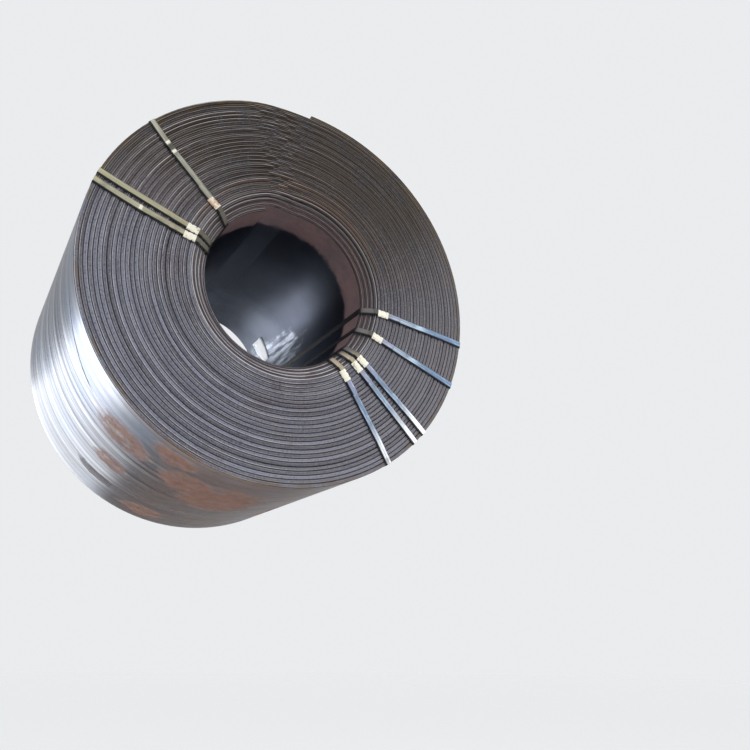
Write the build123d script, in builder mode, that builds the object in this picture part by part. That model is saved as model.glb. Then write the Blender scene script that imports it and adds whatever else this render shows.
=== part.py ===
from build123d import *
import os
from math import atan, cos, degrees, radians, sin

# A strapped coil of hot-rolled steel strip, in millimetres, lying on its side.
# The axis is Y, the near end faces -Y and +Z is up.
# The origin is on the axis, halfway along the bore.

# The strip and how it is wound
EYE_RADIUS = 381.0  # bore left by the mandrel
STRIP_WIDTH = 1435.0
STRIP_THICKNESS = 17.8
TURN_GAP = 0.47  # mean air gap between neighbouring turns
TURNS = 30
TURN_PITCH = STRIP_THICKNESS + TURN_GAP
OUTER_RADIUS = EYE_RADIUS + TURNS * TURN_PITCH

# The first turns slipped along the axis as the coil came off the mandrel
SLIPPED_TURNS = 4
SLIP = 45.0  # of the very first turn
SLIP_CURVE = 1.5  # how fast the slip dies out from turn to turn
# How far back the edges of the other turns lie where one meets the next, repeated outwards
EDGE_LEVELS = (0.0, 4.5, 0.8, 3.6, 0.0, 5.0, 1.4, 4.0)

# The two ends of the strip: every turn climbs on to the one inside it over the same stretch
TAIL_ANGLE = 85.5  # where the outer end lies, in degrees from +X towards +Z
CLIMB_ANGLE = 22.5  # from there to the inner end
HEAD_STEP = 15.0  # height of the inner end, which the mandrel's slot bent in a little
CUT_MARGIN = 2.0  # how far the cuts run past the round faces
LEVEL_TURNS = 3  # last turns whose edges lie in one face, from which the outer end is cut

# Steel straps through the eye, some alone and some side by side, in degrees from +X towards +Z
SINGLE_ANGLES = (-54.75, -21.75, -6.75, 139.9)
PAIR_ANGLES = (-42.25, 163.2)
PAIR_GAP = 1.8  # between the two straps of a pair inside the eye
STRAP_WIDTH = 32.0
STRAP_THICKNESS = 0.8
STRAP_GAP = 0.9  # between a flat strap and the round faces it is pulled against

# Crimped seals that join the ends of each strap on the near face
SEAL_LENGTH = 55.0
SEAL_THICKNESS = 0.9
SEAL_CLEARANCE = 0.15
SEAL_SIDE_CLEARANCE = 0.8
SEAL_SLOT = 14.0  # between the two lips folded under the strap
SEAL_OFFSET = 3.0  # from the first turn that lies flat
STRAP_STUB = 12.0  # end of the upper strap layer, inwards of the seal
STRAP_OVERLAP = 70.0  # end of the upper strap layer, outwards of the seal

# The blank tag on the wall of the eye
TAG_ANGLE = 23.5
TAG_ALONG = 150.0  # size along the axis
TAG_AROUND = 140.0  # size around the wall
TAG_THICKNESS = 0.8
TAG_GAP = 0.4
TAG_END_DISTANCE = 115.0  # from the far end of the first turn
TAG_HOLE_RADIUS = 4.0
TAG_HOLE_INSET = 14.0


def turn_radius(turn):
    """Inner radius of a turn, counted from 0 at the bore."""
    return EYE_RADIUS + turn * TURN_PITCH


def edge_corners():
    """Corners of one end of the coil, from the bore outwards, as radius and depth."""
    corners = []
    for turn in range(SLIPPED_TURNS):
        depth = SLIP * (1 - turn / SLIPPED_TURNS) ** SLIP_CURVE
        corners.append((turn_radius(turn), depth))
        corners.append((turn_radius(turn + 1), depth))
    for turn in (*range(SLIPPED_TURNS, TURNS - LEVEL_TURNS + 1), TURNS):
        level = EDGE_LEVELS[(turn - SLIPPED_TURNS) % len(EDGE_LEVELS)]
        corners.append((turn_radius(turn), level))
    return corners


def cross(origin, a, b):
    """Twice the signed area of the triangle between three points."""
    return (a[0] - origin[0]) * (b[1] - origin[1]) - (a[1] - origin[1]) * (b[0] - origin[0])


def taut_line(points):
    """The lower side of the line that a band takes when pulled tight round points."""
    line = []
    for point in points:
        while len(line) > 1 and cross(line[-2], line[-1], point) <= 0:
            line.pop()
        line.append(point)
    return line


def taut_loop(points):
    """The whole closed line of a band pulled tight round points."""
    ordered = sorted(points)
    return taut_line(ordered)[:-1] + taut_line(ordered[::-1])[:-1]


def polar(radius, angle):
    """A point on a plane across the axis."""
    return (radius * cos(radians(angle)), radius * sin(radians(angle)))


def radial_plane(angle):
    """The plane through the axis at an angle, with x outwards and y along the axis."""
    c = cos(radians(angle))
    s = sin(radians(angle))
    return Plane(origin=(0, 0, 0), x_dir=(c, 0, s), z_dir=(-s, 0, c))


near_face = min(EDGE_LEVELS) - STRIP_WIDTH / 2
near_edge = [(radius, depth - STRIP_WIDTH / 2) for radius, depth in edge_corners()]
far_edge = [(radius, depth + STRIP_WIDTH / 2) for radius, depth in edge_corners()]

# The coiled strip: one turned solid whose turns show on both ends
climb_end = TAIL_ANGLE + CLIMB_ANGLE
climb_middle = TAIL_ANGLE + CLIMB_ANGLE / 2
tail_foot = OUTER_RADIUS - STRIP_THICKNESS
tail_clear = OUTER_RADIUS + CUT_MARGIN
head_top = EYE_RADIUS + HEAD_STEP
head_clear = EYE_RADIUS - CUT_MARGIN

with BuildPart() as strip_coil:
    with BuildSketch(Plane.XY):
        with BuildLine():
            Polyline(*near_edge, *far_edge[::-1], close=True)
        make_face()
    revolve(axis=Axis.Y)

    # Outer end of the strip, square, with the climb of the last turn beyond it
    with BuildSketch(Plane.XZ):
        with BuildLine():
            Line(polar(tail_foot, TAIL_ANGLE), polar(tail_clear, TAIL_ANGLE))
            ThreePointArc(
                polar(tail_clear, TAIL_ANGLE),
                polar(tail_clear, climb_middle),
                polar(tail_clear, climb_end),
            )
            ThreePointArc(
                polar(tail_clear, climb_end),
                polar((tail_foot + tail_clear) / 2, climb_middle),
                polar(tail_foot, TAIL_ANGLE),
            )
        make_face()
    extrude(amount=STRIP_WIDTH, both=True, mode=Mode.SUBTRACT)

    # Inner end of the strip, which the first turn climbs over
    with BuildSketch(Plane.XZ):
        with BuildLine():
            ThreePointArc(
                polar(head_clear, TAIL_ANGLE),
                polar((head_clear + head_top) / 2, climb_middle),
                polar(head_top, climb_end),
            )
            Line(polar(head_top, climb_end), polar(head_clear, climb_end))
            ThreePointArc(
                polar(head_clear, climb_end),
                polar(head_clear, climb_middle),
                polar(head_clear, TAIL_ANGLE),
            )
        make_face()
    extrude(amount=STRIP_WIDTH, both=True, mode=Mode.SUBTRACT)

# One strap's loop, pulled tight over the corners of the turns, for every strap
strap_lift = SEAL_THICKNESS + SEAL_CLEARANCE
strap_seat = [(radius, level - strap_lift) for radius, level in near_edge] + far_edge
strap_under = strap_lift + STRAP_GAP
strap_top = near_face - strap_under - STRAP_THICKNESS
seal_start = turn_radius(SLIPPED_TURNS) + SEAL_OFFSET
overlap_length = STRAP_STUB + SEAL_LENGTH + STRAP_OVERLAP
overlap_middle = seal_start - STRAP_STUB + overlap_length / 2

with BuildSketch(Plane.XY) as seat_area:
    with BuildLine():
        Polyline(*taut_loop(strap_seat), close=True)
    make_face()

with BuildSketch(Plane.XY) as strap_loop:
    offset(seat_area.sketch, amount=STRAP_GAP + STRAP_THICKNESS, kind=Kind.INTERSECTION)
    offset(seat_area.sketch, amount=STRAP_GAP, kind=Kind.INTERSECTION, mode=Mode.SUBTRACT)
    with Locations((overlap_middle, strap_top)):
        Rectangle(overlap_length, STRAP_THICKNESS, align=(Align.CENTER, Align.MAX))

# One seal's section across the strap, open between its lips towards the coil
cavity_width = STRAP_WIDTH + 2 * SEAL_SIDE_CLEARANCE
cavity_depth = 2 * STRAP_THICKNESS + 2 * SEAL_CLEARANCE
cavity_floor = strap_under - SEAL_CLEARANCE

with BuildSketch(Plane.XY) as seal_section:
    with Locations((0, cavity_floor + cavity_depth / 2)):
        Rectangle(cavity_width + 2 * SEAL_THICKNESS, cavity_depth + 2 * SEAL_THICKNESS)
        Rectangle(cavity_width, cavity_depth, mode=Mode.SUBTRACT)
    with Locations((0, cavity_floor)):
        Rectangle(SEAL_SLOT, 2 * SEAL_THICKNESS, mode=Mode.SUBTRACT)

# The straps of a pair stand apart by their width and gap at the wall of the eye
strap_inside = EYE_RADIUS - STRAP_GAP - STRAP_THICKNESS
pair_spread = degrees(atan((STRAP_WIDTH + PAIR_GAP) / 2 / strap_inside))
strap_angles = list(SINGLE_ANGLES)
for angle in PAIR_ANGLES:
    strap_angles += (angle - pair_spread, angle + pair_spread)

straps = []
seals = []
for number, angle in enumerate(sorted(strap_angles), start=1):
    with BuildPart() as strap:
        with BuildSketch(radial_plane(angle)):
            add(strap_loop.sketch)
        extrude(amount=STRAP_WIDTH / 2, both=True)
    strap.part.label = f"strap_{number}"
    straps.append(strap)

    plane = radial_plane(angle)
    with BuildPart() as seal:
        with BuildSketch(
            Plane(origin=plane.x_dir * seal_start, x_dir=plane.z_dir, z_dir=plane.x_dir)
        ):
            with Locations((0, -near_face)):
                add(seal_section.sketch)
        extrude(amount=SEAL_LENGTH)
    seal.part.label = f"seal_{number}"
    seals.append(seal)

# Blank tag that lies against the wall of the eye near its far end
tag_back = EYE_RADIUS - TAG_GAP
tag_front = tag_back - TAG_THICKNESS
tag_far_end = far_edge[0][1] - TAG_END_DISTANCE
tag_middle = tag_far_end - TAG_ALONG / 2

with BuildPart() as coil_tag:
    with BuildSketch(Plane.XZ.offset(-tag_middle)):
        Circle(tag_back)
        Circle(tag_front, mode=Mode.SUBTRACT)
    extrude(amount=TAG_ALONG / 2, both=True)
    tag_outline = Plane(
        origin=(0, tag_middle, 0),
        x_dir=(0, 1, 0),
        z_dir=radial_plane(TAG_ANGLE).x_dir,
    )
    with BuildSketch(tag_outline):
        Rectangle(TAG_ALONG, TAG_AROUND)
        with Locations((TAG_ALONG / 2 - TAG_HOLE_INSET, TAG_AROUND / 2 - TAG_HOLE_INSET)):
            Circle(TAG_HOLE_RADIUS, mode=Mode.SUBTRACT)
    extrude(amount=EYE_RADIUS, mode=Mode.INTERSECT)

os.makedirs("parts", exist_ok=True)
strip_coil.part.label = "strip_coil"
coil_tag.part.label = "coil_tag"
for piece in (strip_coil, coil_tag, *straps, *seals):
    export_step(piece.part, f"parts/{piece.part.label}.step")
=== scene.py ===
from math import cos, pi, radians, sin

import bmesh
import bpy
from mathutils import Matrix, Vector


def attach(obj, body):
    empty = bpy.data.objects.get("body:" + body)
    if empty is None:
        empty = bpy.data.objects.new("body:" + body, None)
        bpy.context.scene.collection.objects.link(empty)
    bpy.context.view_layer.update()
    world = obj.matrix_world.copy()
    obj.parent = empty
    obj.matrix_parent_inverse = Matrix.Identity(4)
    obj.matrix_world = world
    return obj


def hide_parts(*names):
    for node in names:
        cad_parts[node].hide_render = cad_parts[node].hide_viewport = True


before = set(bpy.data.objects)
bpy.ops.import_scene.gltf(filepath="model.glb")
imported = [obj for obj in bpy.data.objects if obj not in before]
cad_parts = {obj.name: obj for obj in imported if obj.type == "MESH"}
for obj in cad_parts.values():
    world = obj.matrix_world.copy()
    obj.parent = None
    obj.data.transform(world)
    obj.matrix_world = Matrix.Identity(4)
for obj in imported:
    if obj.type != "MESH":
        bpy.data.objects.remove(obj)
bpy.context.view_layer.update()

# The camera stands low in front of the coil and looks up along its axis.
camera = bpy.data.objects.new("Camera", bpy.data.cameras.new("Camera"))
bpy.context.collection.objects.link(camera)
camera.data.sensor_width = 36.0
camera.data.lens = 38.4
ahead = Vector((0.451, 0.834, 0.319)).normalized()
up = Vector((-0.16, -0.276, 0.948))
right = ahead.cross(up).normalized()
up = right.cross(ahead)
camera.matrix_world = (
    Matrix.Translation((-1.2283, -3.8056, -1.5432))
    @ Matrix((right, up, -ahead)).transposed().to_4x4()
)
bpy.context.scene.camera = camera
bpy.context.scene.view_settings.view_transform = "Standard"


# The coiled strip: one length of hot-rolled steel with its mill scale on, wound on a mandrel.
# Every turn lies on the one inside it and climbs on to the next between the strip's two ends.
# The first four turns slipped along the bore when the mandrel was drawn out.
class Wire:
    """An output in a node tree; arithmetic written on it adds the nodes that work it out."""

    def __init__(self, tree, socket=None):
        self.tree = tree
        self.socket = socket

    def node(self, kind, settings=(), inputs=(), output=0):
        """Add a node: first its settings, then the values or wires of its inputs."""
        made = self.tree.nodes.new(kind)
        for name, value in dict(settings).items():
            setattr(made, name, value)
        for name, value in dict(inputs).items():
            if isinstance(value, Wire):
                self.tree.links.new(value.socket, made.inputs[name])
            else:
                made.inputs[name].default_value = value
        return Wire(self.tree, made.outputs[output])

    def maths(self, operation, *others):
        """One maths node on this number and others, such as FLOOR or MAXIMUM."""
        values = dict(enumerate((self, *others)))
        return self.node("ShaderNodeMath", {"operation": operation}, values)

    def __add__(self, other):
        return self.maths("ADD", other)

    def __sub__(self, other):
        return self.maths("SUBTRACT", other)

    def __rsub__(self, other):
        return self.node("ShaderNodeMath", {"operation": "SUBTRACT"}, {0: other, 1: self})

    def __mul__(self, other):
        return self.maths("MULTIPLY", other)

    def __truediv__(self, other):
        return self.maths("DIVIDE", other)

    def __pow__(self, other):
        return self.maths("POWER", other)

    __radd__ = __add__
    __rmul__ = __mul__

    def step(self, low, high):
        """Nought below low, one above high and smooth between them; low may be the higher."""
        settings = {"interpolation_type": "SMOOTHSTEP"}
        if isinstance(low, (int, float)) and low > high:
            return 1 - self.step(high, low)
        return self.node("ShaderNodeMapRange", settings, {0: self, 1: low, 2: high})


def sized_tree(name, sizes):
    """A Geometry Nodes tree with one named input for each size; gives its wires."""
    tree = bpy.data.node_groups.new(name, "GeometryNodeTree")
    tree.interface.new_socket("Geometry", in_out="OUTPUT", socket_type="NodeSocketGeometry")
    for size, value in sizes.items():
        kind = "NodeSocketInt" if isinstance(value, int) else "NodeSocketFloat"
        tree.interface.new_socket(size, in_out="INPUT", socket_type=kind)
    given = tree.nodes.new("NodeGroupInput")
    return tree, {size: Wire(tree, given.outputs[size]) for size in sizes}


def made_from(name, tree, sizes, shape, material):
    """End a tree in its material, run it once and keep the result as a plain mesh object."""
    solid = shape.node("GeometryNodeRealizeInstances", (), {0: shape})
    solid = shape.node("GeometryNodeSetMaterial", (), {"Geometry": solid, "Material": material})
    tree.links.new(solid.socket, tree.nodes.new("NodeGroupOutput").inputs[0])
    piece = bpy.data.objects.new(name, bpy.data.meshes.new(name))
    bpy.context.collection.objects.link(piece)
    modifier = piece.modifiers.new("Making", "NODES")
    modifier.node_group = tree
    for item in tree.interface.items_tree:
        if item.in_out == "INPUT":
            modifier[item.identifier] = sizes[item.name]
    ready = piece.evaluated_get(bpy.context.evaluated_depsgraph_get())
    mesh = bpy.data.meshes.new_from_object(ready)
    piece.modifiers.remove(modifier)
    piece.data = mesh
    return piece


def surface(name):
    """A new material; gives it, its shader node and a wire to build on."""
    material = bpy.data.materials.new(name)
    material.use_nodes = True
    tree = material.node_tree
    shader = tree.nodes["Principled BSDF"]
    return material, shader, Wire(tree)


def feed(shader, **wires):
    """Link wires to a shader's inputs; underscores stand for the spaces in their names."""
    for name, wire in wires.items():
        wire.tree.links.new(wire.socket, shader.inputs[name.replace("_", " ")])


def mixed(amount, first, second):
    """A colour part of the way from the first to the second."""
    colours = {
        place: (*colour, 1.0) if isinstance(colour, tuple) else colour
        for place, colour in ((6, first), (7, second))
    }
    settings = {"data_type": "RGBA"}
    return amount.node("ShaderNodeMix", settings, {0: amount, **colours}, 2)


def any_of(first, *others):
    """The largest of some numbers."""
    for other in others:
        first = first.maths("MAXIMUM", other)
    return first


def coordinate(where, axis):
    """One coordinate of a vector."""
    return where.node("ShaderNodeSeparateXYZ", (), {0: where}, axis)


def vector(first, second, third=0.0):
    """Three numbers as one vector; the first is a wire."""
    return first.node("ShaderNodeCombineXYZ", (), {0: first, 1: second, 2: third})


def stretched(where, shape):
    """A vector with each coordinate multiplied by a number of its own."""
    return where.node("ShaderNodeVectorMath", {"operation": "MULTIPLY"}, {0: where, 1: shape})


def length_of(where):
    """How long a vector is."""
    return where.node("ShaderNodeVectorMath", {"operation": "LENGTH"}, {0: where}, "Value")


def noise(where, scale, detail=3.0, roughness=0.6):
    """Cloudy noise around a half, read at a vector."""
    looks = {"Scale": scale, "Detail": detail, "Roughness": roughness}
    return where.node("ShaderNodeTexNoise", (), {"Vector": where, **looks})


def bumped(relief, strength, height):
    """The normals of a relief that is so many metres high."""
    looks = {"Strength": strength, "Distance": height, "Height": relief}
    return relief.node("ShaderNodeBump", (), looks)


def stored(name):
    """A number kept on the mesh by what made it."""
    return start.node("ShaderNodeAttribute", {"attribute_name": name}, (), "Fac")


STRIP_WIDTH = 1.435
STRIP_THICKNESS = 0.0178
EYE_RADIUS = 0.381
EDGE_CORNER = 0.0028
TURN_PITCH = 0.01827
TURNS = 30
SLIPPED_TURNS = 4
LEVEL_TURNS = 3
STEPS_A_TURN = 144
CLIMB_START = 337.5 / 360

rolled_steel, steel, start = surface("rolled_steel")
place = start.node("ShaderNodeTexCoord", (), (), "Object")
x, y, z = (coordinate(place, axis) for axis in "XYZ")
along = stored("along")
turn = stored("turn")
across = y - stored("shift")
radius = (x * x + z * z).maths("SQRT")
lift = (radius - stored("middle")) / (STRIP_THICKNESS / 2)
flat_from = STRIP_WIDTH / 2 - EDGE_CORNER
edge = (across.maths("ABSOLUTE") - flat_from) / EDGE_CORNER
on_edge = edge.step(-0.3, 0.1)
in_eye = radius.step(EYE_RADIUS + 0.06, EYE_RADIUS + 0.03) * (1 - on_edge)


def lines(along_scale, across_scale, detail=4.0, roughness=0.55, seed=0.0):
    """Noise drawn out in the direction that the strip was rolled in."""
    where = vector(along * along_scale, across * across_scale, seed)
    return noise(where, 1.0, detail, roughness)


def patches(scale, detail=5.0, roughness=0.6, shape=(1.0, 1.0, 1.0)):
    """Cloudy noise in the space of the piece."""
    return noise(stretched(place, shape), scale, detail, roughness)


def spot(centre, reach, width=1.0, ragged_by=0.9):
    """One at a centre, nought beyond its reach, with a ragged border; width is along the axis."""
    shape = (1.0, 1.0 / width, 1.0)
    middle = tuple(c * s for c, s in zip(centre, shape))
    scaled = stretched(place, shape)
    settings = {"operation": "DISTANCE"}
    away = scaled.node("ShaderNodeVectorMath", settings, {0: scaled, 1: middle}, "Value")
    return (away / reach + (ragged - 0.5) * ragged_by * 2).step(1.0, 0.6)


ragged = patches(10.0, 7.0, 0.68)
fine_lines = lines(0.4, 110.0, 3.0)
broad_lines = lines(0.2, 15.0, 3.0, 0.5, 4.0)
cloud = patches(3.2, 5.0, 0.6)
mottle = patches(30.0, 4.0, 0.65)
# Low down and to the left, where painted light falls on the edges of the turns
left_low = ((x * 0.45 + z) * -0.9).step(-0.5, 0.7)

# Mill scale on the wide faces: pale blue-grey drawn into lines, browner underneath
hair_lines = lines(0.35, 190.0, 2.0, 0.5, 2.0)
scale_tone = mixed(broad_lines.step(0.35, 0.65), (0.15, 0.168, 0.205), (0.31, 0.325, 0.355))
scale_tone = mixed(cloud.step(0.45, 0.7) * 0.5, scale_tone, (0.15, 0.21, 0.32))
scale_tone = mixed(hair_lines.step(0.50, 0.70) * 0.5, scale_tone, (0.50, 0.53, 0.57))
middle_width = across.step(-0.60, -0.42) * across.step(0.71, 0.60)
ribs = (across * 16.0 + lines(0.03, 5.0, 1.0, 0.5, 11.0) * 3.5).maths("FRACT")
roll_lines = (ribs - 0.5).maths("ABSOLUTE").step(0.17, 0.09)
roll_lines = roll_lines * across.step(-0.50, -0.20)
roll_lines = roll_lines * lines(0.2, 9.0, 2.0, 0.5, 13.0).step(0.26, 0.48)
dark_line = fine_lines.step(0.48, 0.40) * broad_lines.step(0.75, 0.45) * middle_width
dark_line = any_of(dark_line, roll_lines * middle_width, hair_lines.step(0.40, 0.33) * 0.5)
scale_tone = mixed(dark_line * 0.92, scale_tone, (0.022, 0.026, 0.042))
under = z.step(-0.74, -0.89) * (0.6 + cloud.step(0.30, 0.6) * 0.4)
scale_tone = mixed(under * 0.75, scale_tone, (0.20, 0.112, 0.074))
over = z.step(-0.12, 0.25) * cloud.step(0.3, 0.6)
scale_tone = mixed(over * 0.6, scale_tone, (0.15, 0.125, 0.105))

# A scratch across the rolling lines and a scrape low on the side
scratch_way = (y + 0.559 + (z + 0.261) * 0.448 + (ragged - 0.5) * 0.02).maths("ABSOLUTE")
scratch = scratch_way.step(0.008, 0.003) * z.step(-0.57, -0.50) * z.step(-0.17, -0.24)
scratch = scratch * x.step(0.0, -0.2) * radius.step(0.90, 0.92)
scrape = spot((-0.568, 0.384, -0.735), 0.15, 0.45) * fine_lines.step(0.35, 0.6)
scale_tone = mixed(any_of(scratch * 0.85, scrape * 0.75), scale_tone, (0.07, 0.05, 0.045))

# The wall of the eye is smooth and darker than the outside, partly with painted shade
# Near its near end a purple-brown patch is painted light, on scale with a reddish tint
reddish_lit_mouth = (y + ragged * 0.1).step(-0.44, -0.48) * in_eye
reddish_lit_tone = mixed(mottle, (0.20, 0.125, 0.13), (0.34, 0.23, 0.235))
eye_tone = mixed(reddish_lit_mouth, (0.042, 0.047, 0.062), reddish_lit_tone)
eye_tone = mixed(cloud.step(0.45, 0.7) * 0.4, eye_tone, (0.060, 0.068, 0.088))
# Painted light: the wall grows lighter towards the far end
eye_far_lit = y.step(0.05, 0.45) * cloud.step(0.35, 0.6)
eye_tone = mixed(eye_far_lit * 0.4, eye_tone, (0.11, 0.125, 0.155))
# A painted reflection near the tag, streaked along the axis
reflection_streaks = patches(1.0, 4.0, 0.6, (42.0, 5.0, 42.0))
reflection_near_tag = any_of(spot((0.35, 0.36, 0.06), 0.13, 3.0, 0.6), spot((0.34, 0.60, 0.12), 0.10, 2.4, 0.6))
eye_tone = mixed(reflection_near_tag * reflection_streaks.step(0.34, 0.70) * 0.9, eye_tone, (0.38, 0.42, 0.49))
wide_tone = mixed(in_eye, scale_tone, eye_tone)

# Rust where water lay: a few patches low on the side and thin lines between them
rust_spots = any_of(
    spot((-0.587, -0.37, -0.72), 0.17, 0.9),
    spot((-0.298, -0.33, -0.88), 0.15, 1.2),
    spot((-0.10, -0.20, -0.926), 0.22, 1.4),
    spot((-0.293, 0.512, -0.882), 0.15, 0.8),
    spot((-0.560, 0.046, -0.741), 0.11, 1.0),
    spot((-0.420, -0.58, -0.83), 0.12, 1.0),
    spot((0.42, 0.20, -0.83), 0.20, 1.1, 1.7),
    spot((0.60, -0.45, -0.71), 0.11, 1.3, 1.7),
)
rust_lines = lines(1.1, 26.0, 5.0, 0.6, 9.0).step(0.50, 0.66) * z.step(-0.45, -0.75)
rust = rust_spots * ragged.step(0.28, 0.50) * (0.72 + fine_lines * 0.5) * (1 - dark_line * 0.35)
rust = any_of(rust, rust_lines * 0.3) * (1 - in_eye)
brim = across.step(-0.698, -0.711) * radius.step(0.92, 0.925) * ragged.step(0.25, 0.5)
rust = any_of(rust * (1 - on_edge), brim * z.step(-0.60, -0.78) * x.step(0.1, -0.2))
rust_tone = mixed(mottle.step(0.3, 0.7), (0.095, 0.036, 0.022), (0.26, 0.105, 0.056))
rust_tone = mixed(brim, rust_tone, (0.42, 0.22, 0.075))

# The edges of the turns: blue-grey, with painted shade in the grooves between them and bright
# corners that show wear and carry painted highlights
turn_noise = noise(vector(turn * 0.83, along * 0.2), 1.0)
glints = noise(vector(turn * 2.7, along * 0.9, 5.0), 1.0)
# Lighter low down, most on the left, and darker towards the top: painted light and shade across
# the face
edge_tone = mixed(left_low, (0.056, 0.052, 0.055), (0.212, 0.218, 0.275))
edge_tone = mixed(turn_noise.step(0.60, 0.40) * 0.6, edge_tone, (0.058, 0.055, 0.062))
edge_tone = mixed(patches(2.3, 3.0).step(0.5, 0.66) * 0.4, edge_tone, (0.125, 0.085, 0.085))
edge_tone = mixed(mottle.step(0.5, 0.75) * 0.3, edge_tone, (0.24, 0.24, 0.255))
grain = patches(105.0, 2.0, 0.7)
edge_tone = mixed(grain.step(0.50, 0.72) * 0.55, edge_tone, (0.27, 0.27, 0.31))
edge_tone = mixed(grain.step(0.50, 0.30) * 0.60, edge_tone, (0.034, 0.032, 0.042))
# Darker and browner towards the top, most on the left: a painted shadow
upper = z.step(0.0, 0.60) * ragged.step(0.2, 0.6)
upper_left = x.step(0.35, -0.1)
upper_shadow_tone = mixed(upper_left, (0.060, 0.045, 0.032), (0.034, 0.022, 0.012))
edge_tone = mixed(upper * (0.80 + upper_left * 0.16), edge_tone, upper_shadow_tone)
# Lighter still low on the right: more of the painted light
right_low = (x * 0.8 - z * 0.6).step(0.15, 0.75)
edge_tone = mixed(right_low * 0.32, edge_tone, (0.29, 0.285, 0.315))
inner_rust = radius.step(0.60, 0.46) * z.step(0.05, 0.30) * glints.step(0.42, 0.62)
edge_tone = mixed(inner_rust * 0.5, edge_tone, (0.15, 0.085, 0.050))
rim_rust = radius.step(0.89, 0.925) * ragged.step(0.4, 0.6)
edge_tone = mixed(rim_rust * 0.6, edge_tone, (0.14, 0.095, 0.045))
# Bright corners: wear with a painted highlight, bright on the left and dim on the right
outer_corner = lift.step(0.44, 0.56) * lift.step(0.78, 0.68)
inner_corner = lift.step(-0.44, -0.54) * lift.step(-0.76, -0.68) * 0.6
worn_highlight = any_of(outer_corner * glints.step(0.40, 0.62), inner_corner * glints.step(0.60, 0.42))
worn_highlight_tone = mixed(x.step(-0.25, 0.35), (0.64, 0.64, 0.66), (0.27, 0.245, 0.22))
slipped = turn.step(SLIPPED_TURNS + 0.1, SLIPPED_TURNS - 0.4)
# On the slipped turns each edge has painted light on its outer part and painted shade on its inner
# part
edge_tone = mixed(slipped * lift.step(0.30, -0.10) * 0.85, edge_tone, (0.050, 0.038, 0.042))
edge_tone = mixed(slipped * lift.step(0.15, 0.45) * 0.8, edge_tone, (0.46, 0.42, 0.40))
# Painted glints on the lower turns near the eye
glints_near_eye = radius.step(0.60, 0.44) * z.step(-0.10, -0.35) * ragged.step(0.30, 0.55)
worn_highlight_tone = mixed(glints_near_eye, worn_highlight_tone, (0.93, 0.93, 0.95))
worn_highlight = any_of(worn_highlight * ragged.step(0.25, 0.55), glints_near_eye * outer_corner * 0.8)
edge_tone = mixed(worn_highlight * (0.35 + glints * 0.8), edge_tone, worn_highlight_tone)
# Painted shade in the grooves between the turns
groove_half = 0.78 + (turn_noise - 0.5) * 0.6
groove_shade = (lift.maths("ABSOLUTE") - groove_half).step(-0.10, 0.10)
edge_tone = mixed(groove_shade * (0.45 + ragged * 0.8), edge_tone, (0.014, 0.013, 0.016))

tone = mixed(on_edge, mixed(rust * 0.88, wide_tone, rust_tone), edge_tone)
gloss = 0.19 + fine_lines * 0.14 + mottle * 0.08 + on_edge * 0.25 + in_eye * 0.04
gloss = gloss + any_of(rust, scratch, scrape) * 0.4
# Rust, the painted light patch at the eye's mouth and the turns' edges are less metallic
steel_left = (1 - rust * 0.9) * (1 - reddish_lit_mouth * 0.75) * (0.9 - on_edge * 0.25)
relief = fine_lines * 0.5 * (1 - on_edge) + mottle * 0.35 + rust * 0.5
bumps = bumped(relief, 0.3, 0.0010)
feed(steel, Base_Color=tone, Roughness=gloss, Metallic=steel_left, Normal=bumps)
steel.inputs["Specular Tint"].default_value = (0.48, 0.49, 0.51, 1.0)

# The strip's inner end lies at the head angle and its outer end where the points run out.
# Every turn climbs on to the next over the stretch from the climb start to the end of a turn.
coil_sizes = {
    "Eye Radius": EYE_RADIUS,
    "Turn Pitch": TURN_PITCH,
    "Strip Width": STRIP_WIDTH,
    "Strip Thickness": STRIP_THICKNESS,
    "Edge Corner": EDGE_CORNER,
    "Corner Steps": 3,
    "Head Angle": radians(108),
    "Climb Start": CLIMB_START,
    "Steps A Turn": float(STEPS_A_TURN),
    "Points": int((TURNS - 1 + CLIMB_START) * STEPS_A_TURN) + 1,
    "Slip": 0.045,
    "Slip Curve": 1.5,
    "Slipped Turns": float(SLIPPED_TURNS),
    "Level Turn": float(TURNS - LEVEL_TURNS),
    "Edge Scatter": 0.0008,
    "Seed": 3.0,
}
coil_tree, size = sized_tree("Strip coil", coil_sizes)
begin = Wire(coil_tree)
index = begin.node("GeometryNodeInputIndex")
wound = index / size["Steps A Turn"]
whole = wound.maths("FLOOR")
climb = (wound - whole).step(size["Climb Start"], 1.0)
seat = whole + climb
mid_radius = size["Eye Radius"] + size["Turn Pitch"] * seat + size["Strip Thickness"] * 0.5
angle = size["Head Angle"] + wound * (2 * pi)

# How far back the edges lie where one turn meets the next, repeated outwards
EDGE_LEVELS = (0.0, 0.0045, 0.0008, 0.0036, 0.0, 0.0050, 0.0014, 0.0040)


def level_between(which):
    """How far back the edges lie between a turn and the one inside it."""
    repeat = len(EDGE_LEVELS)
    key = (which - size["Slipped Turns"]).maths("FLOORED_MODULO", float(repeat))
    level = key * 0.0
    for number, value in enumerate(EDGE_LEVELS):
        level = level + key.maths("COMPARE", float(number), 0.5) * value
    # The edges of the last turns lie in one slanting face
    first = EDGE_LEVELS[(TURNS - LEVEL_TURNS - SLIPPED_TURNS) % repeat]
    last = EDGE_LEVELS[(TURNS - SLIPPED_TURNS) % repeat]
    late = (which - size["Level Turn"]).maths("MAXIMUM", 0.0)
    slanting = first + late * ((last - first) / LEVEL_TURNS)
    return level + late.maths("GREATER_THAN", 0.5) * (slanting - level)


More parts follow.
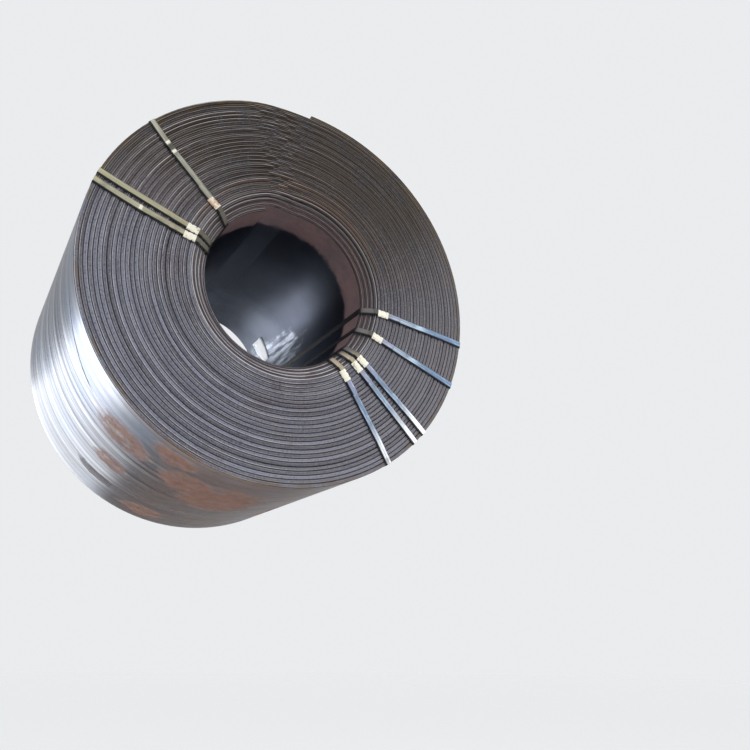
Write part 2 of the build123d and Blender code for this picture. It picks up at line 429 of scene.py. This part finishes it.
def turn_edge(which, side):
    """How far back the edge of a turn lies on its inner side, 0, or its outer side, 1."""
    slip = (1 - which / size["Slipped Turns"]).maths("MAXIMUM", 0.0) ** size["Slip Curve"]
    flat = which.maths("GREATER_THAN", size["Slipped Turns"] - 0.5)
    key = which + size["Seed"]
    chance = key.node("ShaderNodeTexWhiteNoise", {"noise_dimensions": "1D"}, {"W": key})
    return size["Slip"] * slip + flat * (
        level_between(which + float(side)) + (chance - 0.2) * size["Edge Scatter"]
    )


inner_edge = turn_edge(whole, 0) * (1 - climb) + turn_edge(whole + 1.0, 0) * climb
outer_edge = turn_edge(whole, 1) * (1 - climb) + turn_edge(whole + 1.0, 1) * climb
edge_shift = (inner_edge + outer_edge) * 0.5
cant = (outer_edge - inner_edge) * 0.5
spot_on_turn = vector(
    mid_radius * angle.maths("COSINE"), edge_shift, mid_radius * angle.maths("SINE")
)
line = begin.node("GeometryNodeCurvePrimitiveLine")
line = line.node("GeometryNodeResampleCurve", (), {"Curve": line, "Count": size["Points"]})
line = line.node("GeometryNodeSetPosition", (), {"Geometry": line, "Position": spot_on_turn})
length_so_far = begin.node("GeometryNodeSplineParameter", (), (), "Length")
kept = {"along": length_so_far, "turn": seat, "middle": mid_radius}
kept |= {"line_shift": edge_shift, "cant": cant}
for name, value in kept.items():
    line = line.node(
        "GeometryNodeStoreNamedAttribute", (), {"Geometry": line, "Name": name, "Value": value}
    )
line = line.node(
    "GeometryNodeSetCurveNormal", {"mode": "FREE"}, {"Curve": line, "Normal": (0.0, 1.0, 0.0)}
)
section = begin.node(
    "GeometryNodeCurvePrimitiveQuadrilateral",
    (),
    {"Width": size["Strip Width"], "Height": size["Strip Thickness"]},
)
section = section.node(
    "GeometryNodeFilletCurve",
    {"mode": "POLY"},
    {"Curve": section, "Count": size["Corner Steps"], "Radius": size["Edge Corner"]},
)
strip = line.node(
    "GeometryNodeCurveToMesh", (), {"Curve": line, "Profile Curve": section, "Fill Caps": True}
)
kept_on = {
    name: begin.node("GeometryNodeInputNamedAttribute", (), {"Name": name})
    for name in ("middle", "line_shift", "cant")
}
radius_now = length_of(stretched(begin.node("GeometryNodeInputPosition"), (1, 0, 1)))
lift_now = (radius_now - kept_on["middle"]) / (size["Strip Thickness"] * 0.5)
slant = kept_on["cant"] * lift_now
strip = strip.node(
    "GeometryNodeStoreNamedAttribute",
    (),
    {"Geometry": strip, "Name": "shift", "Value": kept_on["line_shift"] + slant},
)
sideways = begin.node("ShaderNodeCombineXYZ", (), {1: slant})
strip = strip.node("GeometryNodeSetPosition", (), {"Geometry": strip, "Offset": sideways})
fold = begin.node("GeometryNodeInputMeshEdgeAngle").maths("GREATER_THAN", radians(15))
strip = strip.node(
    "GeometryNodeSetShadeSmooth",
    {"domain": "EDGE"},
    {"Geometry": strip, "Selection": fold, "Shade Smooth": False},
)
coil = made_from("rolled_strip", coil_tree, coil_sizes, strip, rolled_steel)
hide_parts("strip_coil")
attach(coil, "root")


# The steel straps, each one blued band pulled tight through the eye and over the corners of the
# turns. Its two ends lie one on the other on the near face, where a seal grips them.
STRAP_WIDTH = 0.032
STRAP_THICKNESS = 0.0008
STRAP_GAP = 0.0009

# For each strap, its angle round the axis at the eye and further out, in degrees
STRAP_LEANS = (
    (-53.25, -56.25),
    (-44.20, -45.00),
    (-39.00, -40.75),
    (-21.50, -22.00),
    (-5.75, -7.75),
    (142.25, 137.50),
    (162.00, 160.25),
    (167.20, 163.10),
)
LEAN_REACH = 0.548

# How much duller each strap is and how much painted khaki reflection it carries, and the radii of
# the kinks in two of them
DULL_AND_KHAKI_SHEEN = (0.0, 0.05, 0.0, 0.1, 0.1, 0.75, 0.95, 0.9)
KINKS = {6: (0.764, 0.813), 8: (0.715,)}

strap_steel, strap_shader, start = surface("strap_steel")
place = start.node("ShaderNodeTexCoord", (), (), "Object")
depth = coordinate(place, "Y")
height = coordinate(place, "Z")
run = stored("run")
side = stored("side")
dull_and_khaki_sheen = stored("dull_and_khaki_sheen")
outwards = stored("reach")
streaks = noise(vector(run * 3.0, side * 6.0, dull_and_khaki_sheen * 9.0), 1.0, 4.0)
glare = noise(vector(run * 13.0, side * 1.5, dull_and_khaki_sheen * 4.0), 1.0)
soil = noise(place, 11.0, 5.0)

# Blue with streaks and patches of glare, lavender beside the seal
strap_tone = mixed(streaks.step(0.35, 0.65), (0.10, 0.15, 0.235), (0.27, 0.35, 0.46))
strap_tone = mixed(glare.step(0.50, 0.66) * 0.75, strap_tone, (0.52, 0.63, 0.74))
strap_tone = mixed(outwards.step(0.62, 0.53) * 0.6, strap_tone, (0.29, 0.28, 0.39))

# Towards the outside the higher straps are bluer and the lowest three carry a near-white painted
# highlight
blue_end = outwards.step(0.62, 0.80) * height.step(-0.50, -0.38) * 0.8
blue_tone = mixed(glare.step(0.45, 0.6), (0.075, 0.14, 0.26), (0.24, 0.36, 0.50))
strap_tone = mixed(blue_end, strap_tone, blue_tone)
end_highlight = outwards.step(0.70, 0.90) * (1 - dull_and_khaki_sheen) * height.step(-0.38, -0.50)
strap_tone = mixed(end_highlight * streaks.step(0.2, 0.6), strap_tone, (0.84, 0.86, 0.88))

# The duller straps are khaki with yellow patches, a painted reflection, and soil lies on all of
# them
khaki = mixed(streaks.step(0.35, 0.65), (0.25, 0.23, 0.15), (0.45, 0.42, 0.28))
khaki = mixed(glare.step(0.42, 0.34) * 0.6, khaki, (0.38, 0.29, 0.11))
strap_tone = mixed(dull_and_khaki_sheen, strap_tone, khaki)
strap_tone = mixed(soil.step(0.52, 0.7) * 0.5, strap_tone, (0.12, 0.105, 0.09))

# Between the seal and the eye they are darkened with painted shade, mottled, and the lowest three
# carry painted sunlight, yellow-cream
inwards = outwards.step(0.470, 0.455)
inner_shade_tone = mixed(soil, (0.04, 0.042, 0.045), (0.17, 0.15, 0.115))
strap_tone = mixed(inwards * 0.9, strap_tone, inner_shade_tone)
sunlit_tone = mixed(streaks, (0.30, 0.25, 0.17), (0.62, 0.55, 0.42))
strap_tone = mixed(inwards * height.step(-0.25, -0.31) * 0.85, strap_tone, sunlit_tone)

# The kinks carry a painted highlight, and in the eye the straps are nearly black with painted
# shade
kink_highlight = depth.step(-0.7206, -0.7212) * outwards.step(0.600, 0.606)
strap_tone = mixed(kink_highlight * 0.8, strap_tone, (0.78, 0.74, 0.62))
strap_tone = mixed(outwards.step(0.390, 0.383) * 0.9, strap_tone, (0.012, 0.012, 0.014))

# A wide painted shadow along the lower side of each strap and a thin one along the other
low_side = side * (dull_and_khaki_sheen.step(0.3, 0.5) * 2 - 1)
painted_shadow_rim = low_side.step(0.36, 0.56) * 0.97 + low_side.step(-0.86, -0.97) * 0.7
strap_tone = mixed(painted_shadow_rim, strap_tone, (0.012, 0.013, 0.018))

strap_gloss = 0.26 + soil * 0.2 + any_of(dull_and_khaki_sheen, inwards) * 0.2
strap_bumps = bumped(streaks * 0.6 + soil * 0.4, 0.25, 0.0006)
feed(strap_shader, Base_Color=strap_tone, Roughness=strap_gloss, Normal=strap_bumps)
strap_shader.inputs["Metallic"].default_value = 0.85

# Where a strap bears on the coil, from its seal outwards and round to the seal again: how many
# turns lie inside that corner, and its depth
NEAR_FLAT = -0.71855
BEARS_ON = (
    (4, NEAR_FLAT),
    (24, NEAR_FLAT),
    (30, -0.71775),
    (30, 0.71830),
    (1, 0.76250),
    (0, 0.76250),
    (0, -0.67355),
    (1, -0.68932),
    (2, -0.70264),
    (3, -0.71292),
    (4, NEAR_FLAT),
)

# The lower layer ends just inwards of its seal. Sharp bends, in radians, are drawn in steps.
LOWER_END = 0.4451
FURTHER_OUT = 0.6
SHARP_BEND = 0.35
BEND_STEPS = 5


def band_line():
    """The middle line of one band, from its lower end to its upper end, as radius and depth."""
    from_coil = STRAP_GAP + STRAP_THICKNESS / 2
    points = [(LOWER_END, NEAR_FLAT - from_coil)]
    corners = [(EYE_RADIUS + TURN_PITCH * turns, depth) for turns, depth in BEARS_ON]
    corners.append((FURTHER_OUT, NEAR_FLAT))
    for before, corner, after in zip(corners, corners[1:], corners[2:]):
        inward = Vector(corner) - Vector(before)
        outward = Vector(after) - Vector(corner)
        first = Vector((inward.y, -inward.x)).normalized()
        second = Vector((outward.y, -outward.x)).normalized()
        turned = first.angle_signed(second)
        steps = 1 if abs(turned) < SHARP_BEND else BEND_STEPS
        for step in range(steps + 1):
            normal = first.copy()
            normal.rotate(Matrix.Rotation(-turned * step / steps, 2))
            points.append((corner[0] + normal.x * from_coil, corner[1] + normal.y * from_coil))
    return points


def leaning(leans, radius):
    """The way out from the axis and the way across a strap where it passes a radius."""
    share = min(max((radius - EYE_RADIUS) / LEAN_REACH, 0.0), 1.0)
    angle = radians(leans[0] + (leans[1] - leans[0]) * share)
    return Vector((cos(angle), 0.0, sin(angle))), Vector((-sin(angle), 0.0, cos(angle)))


def kept_mesh(name, mesh, material):
    """End a bmesh as a mesh object of one material."""
    data = bpy.data.meshes.new(name)
    mesh.to_mesh(data)
    mesh.free()
    data.materials.append(material)
    piece = bpy.data.objects.new(name, data)
    bpy.context.collection.objects.link(piece)
    return piece


# Places across a band, from one side to the other, and how much of its thickness it has there
BAND_SECTION = ((-1.0, 0.35), (-0.94, 1.0), (-0.33, 1.0), (0.33, 1.0), (0.94, 1.0), (1.0, 0.35))


def swept(name, points, leans, dull_and_khaki_sheen):
    """A band along points given as radius and depth, leaning with its radius."""
    mesh = bmesh.new()
    names = ("run", "side", "dull_and_khaki_sheen", "reach")
    layers = [mesh.verts.layers.float.new(layer) for layer in names]
    around = [*BAND_SECTION, *((place, -thick) for place, thick in BAND_SECTION[::-1])]
    rings = []
    run = 0.0
    for number, (radius, depth) in enumerate(points):
        back = Vector(points[max(number - 1, 0)])
        on = Vector(points[min(number + 1, len(points) - 1)])
        way = (on - back).normalized()
        out = Vector((way.y, -way.x))
        if number:
            run += (Vector(points[number]) - back).length
        radial, sideways = leaning(leans, radius)
        normal = radial * out.x + Vector((0.0, out.y, 0.0))
        middle = radial * radius + Vector((0.0, depth, 0.0))
        ring = []
        for place, thick in around:
            lift = normal * (STRAP_THICKNESS / 2 * thick)
            vertex = mesh.verts.new(middle + sideways * (place * STRAP_WIDTH / 2) + lift)
            for layer, value in zip(layers, (run, place, dull_and_khaki_sheen, radius)):
                vertex[layer] = value
            ring.append(vertex)
        rings.append(ring)
    for one, two in zip(rings, rings[1:]):
        for number in range(len(around)):
            after = (number + 1) % len(around)
            mesh.faces.new((one[number], one[after], two[after], two[number]))
    mesh.faces.new(rings[0][::-1])
    mesh.faces.new(rings[-1])
    bmesh.ops.recalc_face_normals(mesh, faces=mesh.faces)
    for face in mesh.faces:
        face.smooth = len(face.verts) == 4
    for joint in mesh.edges:
        if len(joint.link_faces) == 2 and joint.calc_face_angle(0.0) > radians(35):
            joint.smooth = False
    return kept_mesh(name, mesh, strap_steel)


# The shape of a kink: steps outwards, and how far its middle line stands off the gap there
KINK_SHAPE = ((-0.012, 0.0004), (-0.005, 0.0016), (0.0, 0.0022), (0.004, 0.0014), (0.011, 0.0004))

# The upper layer climbs on to the lower one, passes under the seal and ends outside it
LAP_RADII = (0.4360, 0.4440, 0.457, 0.512, 0.516, 0.58)
LAP_GAP = 0.00015
LAP_FOOT = 0.0004
lower = band_line()
upper_depth = NEAR_FLAT - STRAP_GAP - STRAP_THICKNESS * 1.5 - LAP_GAP
lap = [(LAP_RADII[0], lower[-1][1] + LAP_FOOT)]
lap += [(radius, upper_depth) for radius in LAP_RADII[1:]]
for number, (leans, dull_khaki_sheen) in enumerate(zip(STRAP_LEANS, DULL_AND_KHAKI_SHEEN), start=1):
    line = lower[:-1] + lap
    for kink in KINKS.get(number, ()):
        bent = [(kink + along, NEAR_FLAT - STRAP_GAP - off) for along, off in KINK_SHAPE]
        line = line[:1] + bent + line[1:]
    band = swept(f"band_{number}", line, leans, dull_khaki_sheen)
    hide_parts(f"strap_{number}")
    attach(band, "root")


# The seals: short sleeves of bare zinc-coated sheet folded round both layers of a strap.
# Each is notched twice on both sides by the crimping tool.
SEAL_START = 0.45708
SEAL_LENGTH = 0.055
SEAL_STEPS = 44
SEAL_WALL = 0.0009
SEAL_ROOF = -0.72165
SEAL_UNDER = -0.71902

# Half of the sleeve's section, from its lip below the strap round to the middle of the roof
SEAL_SIDE = (
    (-0.0075, SEAL_UNDER),
    (-0.0160, SEAL_UNDER),
    (-0.0172, SEAL_UNDER - 0.0008),
    (-0.0172, SEAL_ROOF + 0.0009),
    (-0.0161, SEAL_ROOF),
    (-0.0060, SEAL_ROOF - 0.00012),
)

# The notches: places along the sleeve and half their length, both as a share of it, their depth
# and how far off the middle they begin and are full. The sleeve flares a little at its ends.
NOTCHES = (0.29, 0.71)
NOTCH_HALF = 0.075
NOTCH_DEPTH = 0.0012
NOTCH_FROM = 0.0095
NOTCH_FULL = 0.0155
FLARE = 0.00025
FLARE_LENGTH = 0.03

bare_zinc, zinc, start = surface("bare_zinc")
place = start.node("ShaderNodeTexCoord", (), (), "Object")
spangle = place.node("ShaderNodeTexVoronoi", (), {"Vector": place, "Scale": 260.0}, "Color")
spangle = spangle.node("ShaderNodeSeparateColor", (), {0: spangle})
grime = noise(place, 45.0, 5.0, 0.65)
zinc_tone = mixed(spangle * 0.6, (0.80, 0.76, 0.62), (0.94, 0.92, 0.84))
zinc_tone = mixed(grime.step(0.52, 0.70) * 0.7, zinc_tone, (0.36, 0.24, 0.13))
rusted = coordinate(place, "Z").step(0.22, 0.28) * grime.step(0.38, 0.56)
zinc_tone = mixed(rusted * 0.65, zinc_tone, (0.46, 0.235, 0.11))
feed(zinc, Base_Color=zinc_tone, Roughness=0.34 + grime * 0.25)
zinc.inputs["Metallic"].default_value = 0.55


def thicken(piece, wall):
    """Give a sheet its wall, half of it on either side."""
    sheet = piece.modifiers.new("Wall", "SOLIDIFY")
    sheet.thickness = wall
    sheet.offset = 0.0


def pinched(a, depth, along):
    """A point of the sleeve's section, pressed in by the notches and flared at the ends."""
    pinch = max(max(0.0, 1 - abs(along - notch) / NOTCH_HALF) ** 0.7 for notch in NOTCHES)
    pinch *= min(max((abs(a) - NOTCH_FROM) / (NOTCH_FULL - NOTCH_FROM), 0.0), 1.0)
    on_roof = depth < SEAL_ROOF + NOTCH_DEPTH
    flare = FLARE * max(0.0, 1 - min(along, 1 - along) / FLARE_LENGTH)
    return a * (1 - 0.10 * pinch), depth + (NOTCH_DEPTH * pinch if on_roof else 0.0) - flare


outline = [*SEAL_SIDE, *((-a, depth) for a, depth in SEAL_SIDE[::-1])]
for number, leans in enumerate(STRAP_LEANS, start=1):
    radial, sideways = leaning(leans, SEAL_START + SEAL_LENGTH / 2)
    mesh = bmesh.new()
    rings = []
    for step in range(SEAL_STEPS + 1):
        along = step / SEAL_STEPS
        section = [pinched(a, depth, along) for a, depth in outline]
        centre = radial * (SEAL_START + SEAL_LENGTH * along)
        rings.append(
            [mesh.verts.new(centre + sideways * a + Vector((0.0, b, 0.0))) for a, b in section]
        )
    for one, two in zip(rings, rings[1:]):
        for a in range(len(outline) - 1):
            mesh.faces.new((one[a], two[a], two[a + 1], one[a + 1]))
    bmesh.ops.recalc_face_normals(mesh, faces=mesh.faces)
    for face in mesh.faces:
        face.smooth = True
    sleeve = kept_mesh(f"sleeve_{number}", mesh, bare_zinc)
    thicken(sleeve, SEAL_WALL)
    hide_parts(f"seal_{number}")
    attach(sleeve, "root")


# The tag: a blank piece of white card with a hole and one corner cut off.
# It is stuck to the wall of the eye near its far end, and its ends curl away a little.

# Each corner and the hole: the angle round the axis, in degrees, and the depth
TAG_CORNERS = (
    (34.6, 0.5000),
    (34.2, 0.6475),
    (24.5, 0.6475),
    (12.4, 0.5760),
    (13.4, 0.4980),
)
TAG_HOLE = (32.0, 0.6335)
HOLE_RADIUS = 0.004
TAG_MIDDLE = 23.5
FLAT_RADIUS = 0.38
SEAT_RADIUS = 0.3802
TAG_THICKNESS = 0.0006
CURL = 0.0025
CURL_REACH = 0.07

white_card, card, start = surface("white_card")
place = start.node("ShaderNodeTexCoord", (), (), "Object")
smudge = noise(place, 22.0, 5.0)
card_tone = mixed(smudge.step(0.45, 0.8) * 0.3, (0.89, 0.93, 0.99), (0.62, 0.64, 0.66))
feed(card, Base_Color=card_tone, Roughness=0.5 + smudge * 0.2)


def laid_flat(angle, depth):
    """A point on the wall of the eye, unrolled on to the flat card."""
    return Vector((radians(angle - TAG_MIDDLE) * FLAT_RADIUS, depth))


mesh = bmesh.new()
corners = [laid_flat(*corner) for corner in TAG_CORNERS]
hole = laid_flat(*TAG_HOLE)
border = []
for one, two in zip(corners, corners[1:] + corners[:1]):
    border += [one.lerp(two, step / 6) for step in range(6)]
outer = [mesh.verts.new((*point, 0.0)) for point in border]
rim = [hole + (point - hole).normalized() * HOLE_RADIUS for point in border]
inner = [mesh.verts.new((*point, 0.0)) for point in rim]
for number in range(len(border)):
    after = (number + 1) % len(border)
    mesh.faces.new((outer[number], outer[after], inner[after], inner[number]))
bmesh.ops.subdivide_edges(mesh, edges=mesh.edges[:], cuts=3, use_grid_fill=True)
for vertex in mesh.verts:
    around, depth, _ = vertex.co
    angle = around / FLAT_RADIUS + radians(TAG_MIDDLE)
    radius = SEAT_RADIUS - CURL * max(0.0, (around / CURL_REACH) ** 2 - 0.35)
    vertex.co = (radius * cos(angle), depth, radius * sin(angle))
for face in mesh.faces:
    face.smooth = True
bmesh.ops.recalc_face_normals(mesh, faces=mesh.faces)
tag = kept_mesh("tag_card", mesh, white_card)
thicken(tag, TAG_THICKNESS)
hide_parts("coil_tag")
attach(tag, "root")


# The studio: a pale floor under the coil, which only the camera sees and only from above, and
# one far below for the low camera. A pale sky and large soft lights stand around them.

# Each floor: its name, its height and the distances between which it fades out
FLOORS = (
    ("Floor", -(EYE_RADIUS + TURNS * TURN_PITCH), 5.0, 13.0),
    ("Low_floor", -3.2, 12.0, 60.0),
)
for name, height, near, far in FLOORS:
    mesh = bpy.data.meshes.new(name)
    half = far * 1.1
    corners = ((-half, -half), (half, -half), (half, half), (-half, half))
    mesh.from_pydata([(*corner, height) for corner in corners], [], [(0, 1, 2, 3)])
    floor = bpy.data.objects.new(name, mesh)
    bpy.context.collection.objects.link(floor)
    pale, pale_shader, start = surface(name.lower() + "_paint")
    pale_shader.inputs["Base Color"].default_value = (0.84, 0.835, 0.82, 1.0)
    pale_shader.inputs["Roughness"].default_value = 0.8
    there = length_of(start.node("ShaderNodeTexCoord", (), (), "Object")).step(far, near)
    watched = start.node("ShaderNodeLightPath", (), (), "Is Camera Ray")
    if name == "Floor":
        from_below = start.node("ShaderNodeNewGeometry", (), (), "Backfacing")
        there = there * (1 - from_below) * watched
    else:
        glow = mixed(watched, (0.0, 0.0, 0.0), (0.262, 0.272, 0.285))
        feed(pale_shader, Emission_Color=glow)
        pale_shader.inputs["Emission Strength"].default_value = 1.0
    feed(pale_shader, Alpha=there)
    mesh.materials.append(pale)

world = bpy.data.worlds.new("World")
bpy.context.scene.world = world
world.use_nodes = True
sky = Wire(world.node_tree)
rays = sky.node("ShaderNodeLightPath")
kinds = ("Is Camera Ray", "Is Glossy Ray", "Is Transmission Ray")
seen = any_of(*(Wire(sky.tree, rays.socket.node.outputs[kind]) for kind in kinds))
shown = world.node_tree.nodes["Background"]
shown.inputs["Color"].default_value = (0.87, 0.88, 0.90, 1.0)
sky.tree.links.new((0.70 + seen * 0.25).socket, shown.inputs["Strength"])

for name, at, aim, width, height, power in (
    ("Window_left", (-3.9, 3.6, -0.55), (-0.8, 0.0, -0.3), 4.2, 2.6, 140.0),
    ("Window_low", (-1.6, 3.9, -0.45), (-0.6, 0.0, -0.45), 2.2, 1.9, 50.0),
    ("Key", (-2.5, -5.0, 5.0), (0.0, -0.4, 0.0), 3.5, 3.5, 170.0),
    ("Fill", (5.0, -4.0, 2.0), (0.0, 0.0, 0.0), 4.0, 4.0, 100.0),
    ("Back", (2.5, 6.0, 3.5), (0.0, 0.5, 0.0), 4.0, 4.0, 100.0),
):
    light = bpy.data.lights.new(name, "AREA")
    light.shape = "RECTANGLE"
    light.size = width
    light.size_y = height
    light.energy = power
    lamp = bpy.data.objects.new(name, light)
    bpy.context.collection.objects.link(lamp)
    lamp.visible_camera = False
    lamp.matrix_world = Matrix.Translation(at) @ (
        (Vector(aim) - Vector(at)).to_track_quat("-Z", "Y").to_matrix().to_4x4()
    )
